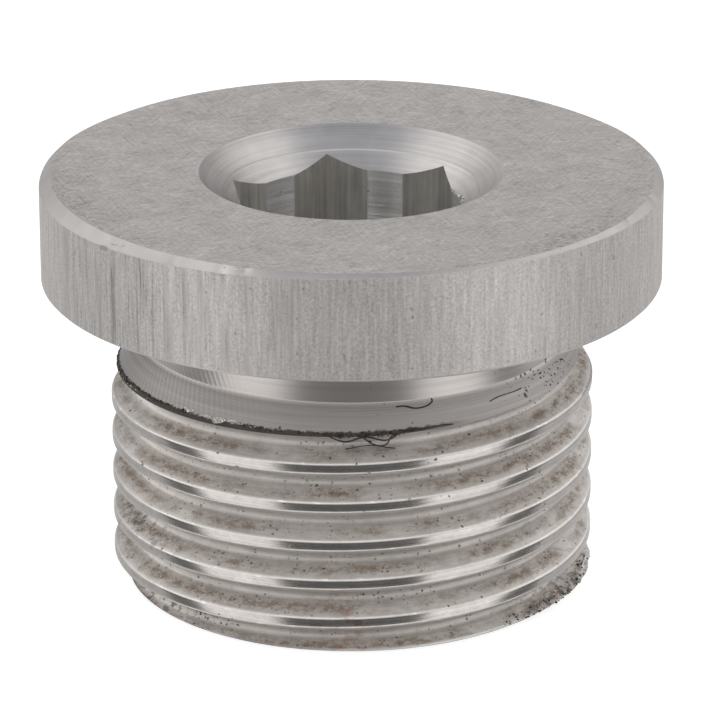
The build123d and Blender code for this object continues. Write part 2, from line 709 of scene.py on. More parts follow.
class Graph:
    """A material's nodes, with short calls for what the finishes use.

    Args:
        name: The material's name.
    """

    def __init__(self, name: str) -> None:
        """Starts an empty material."""
        self.material = bpy.data.materials.new(name)
        self.material.use_nodes = True
        self.tree = self.material.node_tree
        self.tree.nodes.clear()
        self.output = self.node("ShaderNodeOutputMaterial")
        in_mm = self.node("ShaderNodeMapping")
        in_mm.inputs["Scale"].default_value = (1 / MM, 1 / MM, 1 / MM)
        self.feed(in_mm.inputs["Vector"], self.out(self.node("ShaderNodeTexCoord"), "Object"))
        self.place = self.out(in_mm)
        split = self.node("ShaderNodeSeparateXYZ")
        self.feed(split.inputs[0], self.place)
        self.x, self.y, self.z = (self.out(split, axis) for axis in range(3))
        flat = self.node("ShaderNodeVectorMath", operation="MULTIPLY")
        self.feed(flat.inputs[0], self.place)
        flat.inputs[1].default_value = (1, 1, 0)
        length = self.node("ShaderNodeVectorMath", operation="LENGTH")
        self.feed(length.inputs[0], self.out(flat))
        self.radius = self.out(length, "Value")
        # The bearing is 0 at the front (-Y), and runs from -0.5 to 0.5 of a turn.
        self.bearing = self.math("ARCTAN2", self.x, self.y * -1) / math.tau

    def node(self, kind: str, **settings) -> bpy.types.Node:
        """Adds a node and sets its properties."""
        made = self.tree.nodes.new(kind)
        for key, value in settings.items():
            setattr(made, key, value)
        return made

    def out(self, node: bpy.types.Node, key: int | str = 0) -> Value:
        """What a node gives at one of its outputs."""
        return Value(self, node.outputs[key])

    def feed(self, socket: bpy.types.NodeSocket, value: "Value | Colour | float") -> None:
        """Gives an input a link or a constant, whichever the value is."""
        if isinstance(value, Value):
            self.tree.links.new(value.socket, socket)
        elif isinstance(value, tuple) and socket.type == "RGBA":
            socket.default_value = (*value, 1.0)
        else:
            socket.default_value = value

    def math(self, operation: str, *values: "Value | float") -> Value:
        """A Math node's result."""
        made = self.node("ShaderNodeMath", operation=operation)
        for socket, value in zip(made.inputs, values):
            self.feed(socket, value)
        return self.out(made)

    def vector(self, x: Value, y: Value, z: Value) -> Value:
        """A vector of three values."""
        made = self.node("ShaderNodeCombineXYZ")
        for socket, value in zip(made.inputs, (x, y, z)):
            self.feed(socket, value)
        return self.out(made)

    def mapped(self, vector: Value, key: str, setting: Colour) -> Value:
        """A vector that is moved, turned or stretched.

        Args:
            vector: The vector.
            key: Location, Rotation or Scale.
            setting: By how much on each axis.

        Returns:
            The new vector.
        """
        made = self.node("ShaderNodeMapping")
        self.feed(made.inputs["Vector"], vector)
        made.inputs[key].default_value = setting
        return self.out(made)

    def near(self, degrees: float, reach: float) -> Value:
        """A smooth hump about a bearing that is 0 beyond its reach, both in degrees."""
        return self.bearing.hump(degrees / 360, reach / 360)

    def noise(self, vector: Value, scale: float, detail: float = 3.0, rough: float = 0.5) -> Value:
        """A noise value about 0.5."""
        made = self.node("ShaderNodeTexNoise")
        self.feed(made.inputs["Vector"], vector)
        for key, number in (("Scale", scale), ("Detail", detail), ("Roughness", rough)):
            made.inputs[key].default_value = number
        return self.out(made)

    def cloud(self, scale: float, detail: float = 3.0, rough: float = 0.5) -> Value:
        """A noise that is alike in every direction."""
        return self.noise(self.place, scale, detail, rough)

    def streaks(self, around: float, along: float, outward: float = 0.0, detail: float = 3.0,
                rough: float = 0.5) -> Value:
        """A noise that is drawn out round the axis or along it, with no seam.

        Args:
            around: Cells per mm round the axis.
            along: Cells per mm along it.
            outward: Cells per mm out from it.
            detail: How many finer noises are added.
            rough: How much the finer ones count.

        Returns:
            A value about 0.5.
        """
        vector = self.vector(self.x * around, self.y * around, self.z * along + self.radius * outward)
        return self.noise(vector, 1.0, detail, rough)

    def bent(self, vector: Value, amount: float = 0.16) -> Value:
        """A vector moved about by a fine noise, in mm, which makes dots ragged."""
        wobble = self.node("ShaderNodeTexNoise")
        self.feed(wobble.inputs["Vector"], vector)
        wobble.inputs["Scale"].default_value = 7.0
        wobble.inputs["Detail"].default_value = 3.0
        moved = self.node("ShaderNodeVectorMath", operation="MULTIPLY_ADD")
        self.feed(moved.inputs[0], self.out(wobble, "Color"))
        moved.inputs[1].default_value = (amount, amount, amount)
        self.feed(moved.inputs[2], vector)
        return self.out(moved)

    def specks(self, vector: Value, scale: float, share: float, size: float) -> Value:
        """Scattered dots.

        Args:
            vector: Where they are looked up.
            scale: Cells per mm.
            share: The share of cells that hold a dot.
            size: A dot's radius as a share of a cell.

        Returns:
            1 on a dot and 0 off it.
        """
        made = self.node("ShaderNodeTexVoronoi")
        self.feed(made.inputs["Vector"], vector)
        made.inputs["Scale"].default_value = scale
        chance = self.node("ShaderNodeSeparateColor")
        self.feed(chance.inputs[0], self.out(made, "Color"))
        present = self.math("LESS_THAN", self.out(chance, 0), share)
        reach = self.out(chance, 1) * size + 0.02
        return present * (self.out(made, "Distance") / reach).step(0.6, 1.1, 1.0, 0.0)

    def mix(self, share: Value, first: Value | Colour, second: Value | Colour) -> Value:
        """A colour between two colours."""
        made = self.node("ShaderNodeMix", data_type="RGBA")
        for socket, value in zip((made.inputs[0], made.inputs[6], made.inputs[7]), (share, first, second)):
            self.feed(socket, value)
        return self.out(made, 2)

    def tint(self, colour: Colour, amount: Value) -> Value:
        """A colour made lighter or darker by a factor."""
        made = self.node("ShaderNodeVectorMath", operation="SCALE")
        self.feed(made.inputs[0], colour)
        self.feed(made.inputs["Scale"], amount)
        return self.out(made)

    def surface(self, colour: Value, roughness: "Value | float", height: Value, depth: float,
                metallic: "Value | float" = 1.0) -> bpy.types.Material:
        """Ends the material with its shader.

        Args:
            colour: Base colour.
            roughness: Roughness.
            height: Bump height, about 0 to 1.
            depth: What a height of 1 is, in mm.
            metallic: Metallic share.

        Returns:
            The material.
        """
        bump = self.node("ShaderNodeBump")
        bump.inputs["Strength"].default_value = 1.0
        bump.inputs["Distance"].default_value = depth * MM
        self.feed(bump.inputs["Height"], height)
        shader = self.node("ShaderNodeBsdfPrincipled")
        for key, value in (("Base Color", colour), ("Roughness", roughness), ("Metallic", metallic),
                           ("Normal", self.out(bump))):
            self.feed(shader.inputs[key], value)
        self.feed(self.output.inputs["Surface"], self.out(shader))
        return self.material


@dataclass(frozen=True)
class FacedTop:
    """The collar's face: turned, then scuffed in every direction.

    Args:
        name: The material's name.
        colour: Base colour.
        scuffs: Directions of the scuff marks, in degrees, each with its fineness.
        stain_edge: Distances from the axis at which the stains start and are full, in mm.
        stains: Bearings of the stains.
    """

    name: str
    colour: Colour = (0.46, 0.432, 0.418)
    scuffs: tuple[Point, ...] = ((24.0, 13.0), (68.0, 17.0), (-38.0, 12.0), (112.0, 19.0), (-8.0, 15.0))
    stain_edge: Point = (9.4, 10.9)
    stains: tuple[Point, ...] = ((-70.0, 40.0), (48.0, 26.0))

    def scuff(self, graph: Graph, turn: float, fine: float) -> Value:
        """Scuff marks in one direction: above 0 where light, below 0 where dark."""
        made = graph.mapped(graph.place, "Rotation", (0.0, 0.0, math.radians(turn)))
        stretch = graph.node("ShaderNodeMapping")
        graph.feed(stretch.inputs["Vector"], made)
        stretch.inputs["Scale"].default_value = (0.55, fine, 1.0)
        stretch.inputs["Location"].default_value = (turn, turn, turn)
        streak = graph.noise(graph.out(stretch), 1.0, 3.0, 0.7)
        return streak.step(0.55, 0.68) - streak.step(0.45, 0.34)

    def build(self) -> bpy.types.Material:
        """Makes the material."""
        graph = Graph(self.name)
        marks = sum(self.scuff(graph, turn, fine) for turn, fine in self.scuffs)
        grain = graph.noise(graph.mapped(graph.place, "Scale", (1.0, 0.6, 1.0)), 7.0, 4.0, 0.75)
        rings = graph.streaks(0.12, 0.0, 26.0, 2.0, 0.6)
        cloud = graph.cloud(0.7, 4.0)
        stained = graph.radius.step(*self.stain_edge) * sum(graph.near(*stain) for stain in self.stains)
        mottle = graph.cloud(5.0, 3.0, 0.7).step(0.4, 0.66)
        level = marks * 0.26 + rings * 0.2 + cloud * 0.36 + grain * 0.8 - stained * mottle * 0.4
        height = rings * 0.35 + grain * 0.8 - marks * 0.6
        return graph.surface(graph.tint(self.colour, level + 0.35), marks * 0.03 + 0.36, height, 0.004)


@dataclass(frozen=True)
class DrawnSkin:
    """The collar's side, as the bar was drawn: fine streaks along the axis and dark specks.

    Args:
        name: The material's name.
        colour: Base colour.
        worst: Bearings where the streaks are strongest.
    """

    name: str
    colour: Colour = (0.555, 0.528, 0.511)
    worst: Point = (-38.0, 42.0)

    def build(self) -> bpy.types.Material:
        """Makes the material."""
        graph = Graph(self.name)
        fine = graph.streaks(9.0, 0.5, rough=0.65)
        strong = graph.near(*self.worst)
        deep = graph.streaks(2.6, 0.16, rough=0.6).step(0.5, 0.62) * (strong * 0.85 + 0.15)
        thin = graph.streaks(5.0, 0.13, detail=4.0, rough=0.75).step(0.54, 0.62) * strong
        grain = graph.cloud(11.0, 3.0, 0.7)
        torn = deep * grain.step(0.5, 0.62)
        specks = graph.specks(
            graph.bent(graph.mapped(graph.place, "Scale", (1.0, 1.0, 0.6))), 5.0, 0.16, 0.3)
        level = fine * 0.8 + grain * 1.1 - deep * 0.06 - thin * 0.3 - specks * 0.3 - torn * 0.4
        height = fine * 0.6 + grain * 0.25 - deep * 0.5 - specks * 0.6
        return graph.surface(graph.tint(self.colour, level + 0.09), 0.5, height, 0.009, 0.55)


@dataclass(frozen=True)
class TurnedMetal:
    """Metal with the fine lines that a tool leaves round the axis.

    Args:
        name: The material's name.
        colour: Base colour.
        roughness: Roughness.
        along: Lines per mm along the axis.
        outward: Lines per mm out from the axis.
        strength: How much the lines show, as a share.
        depth: Their depth, in mm.
        metallic: Metallic share.
        specked: The share of dark specks.
        wear_and_painted_light: Bearings of stretches, each with how much duller it is, partly wear and
            partly painted shade. Below 0 it is brighter, a painted highlight.
    """

    name: str
    colour: Colour = (0.46, 0.436, 0.424)
    roughness: float = 0.3
    along: float = 20.0
    outward: float = 20.0
    strength: float = 0.3
    depth: float = 0.004
    metallic: float = 1.0
    specked: float = 0.06
    wear_and_painted_light: tuple[Stretch, ...] = ()

    def build(self) -> bpy.types.Material:
        """Makes the material."""
        graph = Graph(self.name)
        lines = graph.streaks(0.14, self.along, self.outward, rough=0.65)
        bands = graph.streaks(0.1, self.along / 5, self.outward / 5, detail=2.0)
        specks = graph.specks(graph.place, 3.4, self.specked, 0.3)
        level = (lines + bands) * self.strength + graph.cloud(1.6, 4.0) * 0.2 - specks * 0.5
        # Stretches at given bearings are made duller, partly wear and partly painted shade, or brighter
        # where the share is below 0, a painted highlight.
        for bearing, reach, share in self.wear_and_painted_light:
            level = level - graph.near(bearing, reach) * share
        colour = graph.tint(self.colour, level + (0.9 - self.strength))
        height = lines * 0.7 + bands * 0.5 - specks * 0.6
        return graph.surface(colour, self.roughness, height, self.depth, self.metallic)


@dataclass(frozen=True)
class RunInCone:
    """The neck and its cone: turned lines, chatter on the left, dirt along the lower edge, the cone painted
    darker than the neck as painted shade, and duller stretches at given bearings, partly wear and partly
    painted shade.

    Args:
        name: The material's name.
        neck_radius: Radius of the neck, in mm.
        pitch: The thread's pitch, in mm.
        colour: Base colour.
        dirt: Colour of the dirt.
        edge_height: Height of the dirty edge at the front.
        edge_climb: How far it climbs in a turn, in pitches.
        chatter: Bearings of the chatter marks.
        crumbs: Bearings of the crumbs on the right.
        wear_and_painted_light: Bearings that are duller, partly wear and partly painted shade.
    """

    name: str
    neck_radius: float
    pitch: float
    colour: Colour = (0.5, 0.47, 0.45)
    dirt: Colour = (0.035, 0.026, 0.02)
    edge_height: float = -3.16
    edge_climb: float = 0.6
    chatter: Point = (-52.0, 38.0)
    crumbs: Point = (60.0, 32.0)
    wear_and_painted_light: Point = (-82.0, 62.0)

    def build(self) -> bpy.types.Material:
        """Makes the material."""
        graph = Graph(self.name)
        lines = graph.streaks(0.12, 24.0, rough=0.7)
        bands = graph.streaks(0.1, 6.0, detail=2.0)
        # The chatter's ribs lean: they move round as they go down.
        slant = graph.bearing * 430.0 + graph.z * 3.4
        ribs = graph.math("SINE", slant * math.pi) * graph.near(*self.chatter)
        above_edge = graph.z - (graph.bearing * (self.edge_climb * self.pitch) + self.edge_height)
        left = graph.bearing.step(-0.3, -0.22) * graph.bearing.step(0.03, 0.09, 1.0, 0.0)
        ragged = graph.cloud(6.0, 5.0, 0.75) * 0.34
        soiled = left * (above_edge - ragged).step(-0.06, 0.0, 1.0, 0.0)
        crumbs = graph.specks(graph.bent(graph.place), 5.5, 0.45, 0.42) * graph.near(*self.crumbs)
        stray = graph.specks(graph.bent(graph.place), 4.0, 0.06, 0.26)
        dirty = soiled.most(crumbs.most(stray))
        # The cone's colour is painted darker than the neck's: painted shade.
        slope_painted_darker = graph.radius.step(self.neck_radius, self.neck_radius + 0.08)
        # The stretch at the given bearings on the left is duller, partly wear and partly painted shade.
        level = lines * 0.4 + bands * 0.3 + ribs * 0.05 - graph.near(*self.wear_and_painted_light) * 0.16 - slope_painted_darker * 0.42
        colour = graph.mix(dirty * 0.85, graph.tint(self.colour, level + 0.74), self.dirt)
        height = (lines + bands) * 0.5 + ribs * 0.3 + soiled * 2.5
        roughness = dirty * 0.4 + slope_painted_darker * 0.06 + 0.31
        return graph.surface(colour, roughness, height, 0.006, 0.85 - dirty * 0.75)


@dataclass(frozen=True)
class CutThread:
    """The thread: crest edges painted lighter, with painted glints on them, as painted highlights, brown
    film on the flanks, grit and dirt low down.

    Args:
        name: The material's name.
        pitch: The pitch, in mm.
        first_crest: Height of the first full crest at the front.
        half_crest: Half the width of a crest, in mm.
        colour: Base colour.
        film: Colour of the brown film.
        stain: Colour of the reddish stain at the front.
        dirt: Colour of the dirt.
        film_band: Middle and reach of the film above a crest's middle, in mm.
        stained: Bearings of the reddish stain.
        gritty: Bearings where grit is dense.
        dirty_end: Bearings of the dirt at the shank's end.
        dirty_left: Bearings of the dirt higher up on the left.
        roots_painted_lighter: Bearings where the roots are painted lighter, a painted light against the
            shade in them.
        wear_and_painted_light: Bearings that are duller, partly wear and partly painted shade.
    """

    name: str
    pitch: float
    first_crest: float
    half_crest: float
    colour: Colour = (0.52, 0.492, 0.468)
    film: Colour = (0.2, 0.145, 0.1)
    stain: Colour = (0.3, 0.15, 0.1)
    dirt: Colour = (0.03, 0.025, 0.02)
    film_band: Point = (0.42, 0.25)
    stained: Point = (-2.0, 16.0)
    gritty: Point = (66.0, 36.0)
    dirty_end: tuple[Point, Point] = ((64.0, 34.0), (-62.0, 26.0))
    dirty_left: Point = (-68.0, 30.0)
    roots_painted_lighter: Point = (-76.0, 50.0)
    wear_and_painted_light: Point = (-95.0, 50.0)

    def soiled(self, graph: Graph, from_crest: Value) -> Value:
        """Grit and dirt.

        Args:
            graph: The material's nodes.
            from_crest: Height from the nearest crest's middle, in mm.

        Returns:
            1 where it is dirty and 0 where it isn't.
        """
        bent = graph.bent(graph.place)
        patchy = graph.cloud(0.7).step(0.4, 0.55).most(graph.near(*self.gritty))
        crowd = graph.specks(graph.mapped(bent, "Location", (5.0, 5.0, 5.0)), 6.5, 0.58, 0.42)
        crowd = crowd * (patchy * from_crest.step(0.16, 0.3)) * 0.75
        grit = graph.specks(bent, 4.2, 0.1, 0.28).most(crowd)
        ragged = graph.cloud(3.2, 5.0, 0.75)
        right_end, left_end = (graph.near(*end) for end in self.dirty_end)
        lower = graph.z.step(-10.5, -11.3) * right_end.most(left_end) * ragged.step(0.51, 0.58)
        left = graph.near(*self.dirty_left) * graph.z.hump(-8.6, 0.5) * ragged.step(0.5, 0.62)
        return grit.most(lower).most(left)

    def build(self) -> bpy.types.Material:
        """Makes the material."""
        graph = Graph(self.name)
        turns = (graph.z - self.first_crest) / self.pitch - graph.bearing
        across = (graph.math("FRACT", turns + 0.5) - 0.5) * self.pitch
        from_crest = abs(across)
        crest = from_crest.step(self.half_crest - 0.02, self.half_crest + 0.04, 1.0, 0.0)
        # Along the crest edges the colour is painted lighter, with glints on them: painted highlights.
        rim = from_crest.hump(self.half_crest, 0.07)
        # At the given bearings the roots are painted lighter: painted light against the shade in them.
        root = from_crest.step(0.5, 0.64) * graph.near(*self.roots_painted_lighter)
        lines = graph.noise(graph.vector(graph.x * 0.14, graph.y * 0.14, across * 11.0), 1.0, 3.0, 0.75)
        lines = lines.step(0.34, 0.66)
        grain = graph.streaks(3.0, 9.0, 9.0, 4.0, 0.8)
        cloud = graph.cloud(1.1, 4.0, 0.6)
        film = across.hump(*self.film_band) * graph.streaks(0.35, 1.1, 0.0, 4.0, 0.6).step(0.34, 0.54)
        film = film * graph.streaks(2.0, 7.0, 7.0, 5.0, 0.85).step(0.42, 0.58, 0.35, 1.0)
        stained = graph.near(*self.stained) * graph.streaks(1.6, 4.0, 0.0, 4.0, 0.7).step(0.5, 0.6)
        stained = stained * graph.z.step(-8.8, -9.6)
        dirty = self.soiled(graph, from_crest)
        scaled = graph.mapped(graph.place, "Scale", (0.5, 0.5, 1.6))
        glint = graph.specks(graph.bent(scaled), 5.0, 0.3, 0.5) * rim
        foot = graph.z.step(-11.5, -11.57)
        # The crests are painted darker all round as painted shade, and the stretch at the given bearings on
        # the left is duller, partly wear and partly painted shade.
        level = (lines * 0.22 + grain * 0.5 + cloud * 0.4 + rim * 0.35 + glint * 0.5 + root * 0.6
                 - foot * 0.4 - crest * 0.15 - graph.near(*self.wear_and_painted_light) * 0.28)
        colour = graph.mix(film * 0.9, graph.tint(self.colour, level + 0.62), self.film)
        colour = graph.mix(stained * 0.45, colour, self.stain)
        colour = graph.mix(dirty * 0.85, colour, self.dirt)
        height = lines * 0.35 + cloud * 0.3 + dirty * 1.5
        covered = dirty.most(film * 0.6)
        roughness = covered * 0.3 - crest * 0.32 + 0.5
        metallic = (1.0 - covered) * (crest * 0.45 - rim * 0.3 + 0.5)
        return graph.surface(colour, roughness, height, 0.006, metallic)


@dataclass(frozen=True)
class BroachedWall:
    """A flat of the hexagon, with the marks of the broach along the axis.

    Args:
        name: The material's name.
        colour: Base colour.
    """

    name: str
    colour: Colour = (0.47, 0.452, 0.42)

    def build(self) -> bpy.types.Material:
        """Makes the material."""
        graph = Graph(self.name)
        marks = graph.streaks(7.0, 0.3, rough=0.65)
        bands = graph.streaks(1.8, 0.12, detail=2.0)
        level = (marks + bands) * 0.9 + graph.cloud(1.8, 4.0) * 0.3
        return graph.surface(
            graph.tint(self.colour, level - 0.1), 0.42, marks * 0.8 + bands * 0.4, 0.006, 0.7)


@dataclass(frozen=True)
class Soil:
    """Dried oil and dust: dark brown, matt and uneven.

    Args:
        name: The material's name.
        dark: The darker colour.
        light: The lighter colour.
    """

    name: str
    dark: Colour = (0.022, 0.018, 0.016)
    light: Colour = (0.11, 0.07, 0.045)

    def build(self) -> bpy.types.Material:
        """Makes the material."""
        graph = Graph(self.name)
        colour = graph.mix(graph.cloud(3.0, 4.0, 0.7).step(0.46, 0.68), self.dark, self.light)
        return graph.surface(colour, 0.7, graph.cloud(22.0), 0.01, 0.0)


def plug_finishes(plug: PlugBody) -> dict[Zone, bpy.types.Material]:
    """Makes the finish of every zone.

    Args:
        plug: The plug, whose sizes some finishes follow.

    Returns:
        A material for each zone.
    """
    makers = {
        Zone.TOP: FacedTop("faced_top"),
        Zone.SKIN: DrawnSkin("drawn_skin"),
        # The rim chamfer's brighter stretch at -24 degrees is a painted highlight over the nicked stretch of
        # the edge.
        Zone.EDGE: TurnedMetal("rim_chamfer", (0.42, 0.398, 0.389), 0.4, strength=0.4, depth=0.002,
                               wear_and_painted_light=((-24, 12, -0.35),)),
        Zone.NECK: RunInCone("neck_and_cone", plug.neck_radius, plug.pitch),
        Zone.THREAD: CutThread("cut_thread", plug.pitch, -plug.first_crest_drop, plug.crest_flat / 2),
        # The countersink's stretches at given bearings are duller, partly wear and partly painted shade.
        Zone.SINK: TurnedMetal("countersink", roughness=0.28, outward=22.0, along=0.0, strength=0.5,
                               depth=0.006, specked=0.0, wear_and_painted_light=((-84, 74, 0.4), (84, 40, 0.05))),
        Zone.BORE: TurnedMetal("drilled_bore", (0.95, 0.945, 0.94), 0.2, 6.0, 0.0, 0.9, 0.035, 0.8),
        Zone.BROACH: BroachedWall("broached_wall"),
        Zone.FACED: TurnedMetal("faced_end", roughness=0.36, along=0.0, outward=12.0, strength=0.34),
    }
    return {zone: maker.build() for zone, maker in makers.items()}


# ---- dirt and burrs --------------------------------------------------------


def at(bearing: float, radius: float, height: float) -> Vector:
    """A place on the plug.

    Args:
        bearing: Angle from the front (-Y), positive to the right, in degrees.
        radius: Distance from the axis, in mm.
        height: Place along the axis, in mm.

    Returns:
        The place, in mm.
    """
    angle = math.radians(bearing)
    return Vector((math.sin(angle) * radius, -math.cos(angle) * radius, height))


def settle(body: bpy.types.Object, place: Vector) -> Vector:
    """Finds where something that moves straight in to the axis lands on the plug.

    Args:
        body: The finished plug.
        place: Where it comes from, in mm.

    Returns:
        The landing place in mm, or the place itself where nothing is met.
    """
    inward = Vector((-place.x, -place.y, 0)).normalized()
    clear = 3.0                     # how far out it starts, clear of the metal there, in mm
    start = place - inward * clear
    found, spot, _, _ = body.ray_cast(start * MM, inward)
    return spot / MM if found else place


@dataclass
class Fibre:
    """A dark fibre that clings to the plug.

    Args:
        name: The piece's name.
        route: Places it runs through, each as bearing in degrees, radius and height in mm.
        thickness: Its radius, in mm.
    """

    name: str
    route: list[Place]
    thickness: float = 0.025

    def build(self, finish: bpy.types.Material) -> bpy.types.Object:
        """Lays a smooth path through the places and gives it thickness."""
        Bench.clear_selection()
        bpy.ops.curve.primitive_nurbs_path_add(location=(0, 0, 0))
        fibre = bpy.context.object
        fibre.name = self.name
        path = fibre.data.splines[0]
        path.points.add(max(0, len(self.route) - len(path.points)))
        for k, point in enumerate(path.points):
            spot = self.route[min(k, len(self.route) - 1)]
            point.co = (*at(*spot), 1.0)
        fibre.data.resolution_u = 6
        fibre.data.bevel_depth = self.thickness
        fibre.data.bevel_resolution = 1
        fibre.data.use_fill_caps = True
        bpy.ops.object.convert(target="MESH")
        fibre.data.materials.append(finish)
        Bench.to_metres(fibre)
        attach(fibre, BODY)
        return fibre


@dataclass
class Crumbs:
    """Small lumps scattered along a stretch between two places.

    Args:
        name: The piece's name.
        count: How many lumps.
        start: Bearing in degrees, radius and height in mm of one end.
        stop: The same for the other end.
        spread: How far the lumps stray in radius and in height, in mm.
        sizes: The smallest and the largest lump's radius, in mm.
        seed: Seed of the random places.
        inside: Whether they lie in the socket, where they keep the radius they are given.
    """

    name: str
    count: int
    start: Place
    stop: Place
    spread: Point = (0.02, 0.05)
    sizes: Point = (0.018, 0.055)
    seed: int = 1
    inside: bool = False

    def build(self, finish: bpy.types.Material, body: bpy.types.Object) -> bpy.types.Object:
        """Adds the lumps one by one, on the plug's surface, and joins them."""
        Bench.clear_selection()
        chance = random.Random(self.seed)
        lumps = []
        for _ in range(self.count):
            share = chance.random()
            bearing, radius, height = (a + (b - a) * share for a, b in zip(self.start, self.stop))
            size = chance.triangular(self.sizes[0], self.sizes[1], self.sizes[0])
            stray = chance.uniform(-1, 1)
            spot = at(bearing, radius, height + chance.uniform(-1, 1) * self.spread[1])
            spot = spot if self.inside else settle(body, spot)
            out = Vector((spot.x, spot.y, 0)).normalized()
            bpy.ops.mesh.primitive_ico_sphere_add(
                subdivisions=1, radius=size, location=spot + out * stray * self.spread[0],
                rotation=[chance.uniform(0, math.tau) for _ in range(3)],
                scale=[chance.uniform(0.5, 1.5) for _ in range(3)])
            lumps.append(bpy.context.object)
        for lump in lumps:
            lump.select_set(True)
        bpy.ops.object.join()
        heap = bpy.context.object
        heap.name = self.name
        heap.data.materials.append(finish)
        Bench.to_metres(heap)
        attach(heap, BODY)
        return heap


@dataclass
class Burr:
    """A ragged lip of thin metal that the thread tool left along an edge.

    Args:
        name: The piece's name.
        start: Bearing in degrees, radius and height in mm of one end of its foot.
        stop: The same for the other end.
        reach: The greatest width, in mm.
        lean: How far it hangs down for each mm that it stands out.
        columns: Steps along it.
        thickness: Its thickness, in mm.
        seed: Seed of the ragged edge.
    """

    name: str
    start: Place
    stop: Place
    reach: float = 0.22
    lean: float = 0.5
    columns: int = 48
    thickness: float = 0.025
    seed: int = 1

    def build(self, finish: bpy.types.Material) -> bpy.types.Object:
        """Bends a grid along the edge and tears its free side."""
        Bench.clear_selection()
        bpy.ops.mesh.primitive_grid_add(x_subdivisions=self.columns, y_subdivisions=3, size=2)
        lip = bpy.context.object
        lip.name = self.name
        chance = random.Random(self.seed)
        teeth = [chance.uniform(0.3, 1.0) for _ in range(self.columns // 3 + 2)]
        for vertex in lip.data.vertices:
            share = (vertex.co.x + 1) / 2
            out = (vertex.co.y + 1) / 2
            tooth, part = divmod(share * (len(teeth) - 2), 1)
            tooth = int(tooth)
            width = self.reach * (teeth[tooth] * (1 - part) + teeth[tooth + 1] * part)
            width *= math.sin(math.pi * (0.06 + 0.88 * share))
            bearing, radius, height = (a + (b - a) * share for a, b in zip(self.start, self.stop))
            curl = chance.uniform(-0.012, 0.012)
            vertex.co = at(bearing, radius + out * width + curl, height - out * width * self.lean + curl)
        skin = lip.modifiers.new("skin", "SOLIDIFY")
        skin.thickness = self.thickness
        bpy.ops.object.modifier_apply(modifier=skin.name)
        lip.data.materials.append(finish)
        Bench.face_out(lip)
        Bench.to_metres(lip)
        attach(lip, BODY)
        return lip


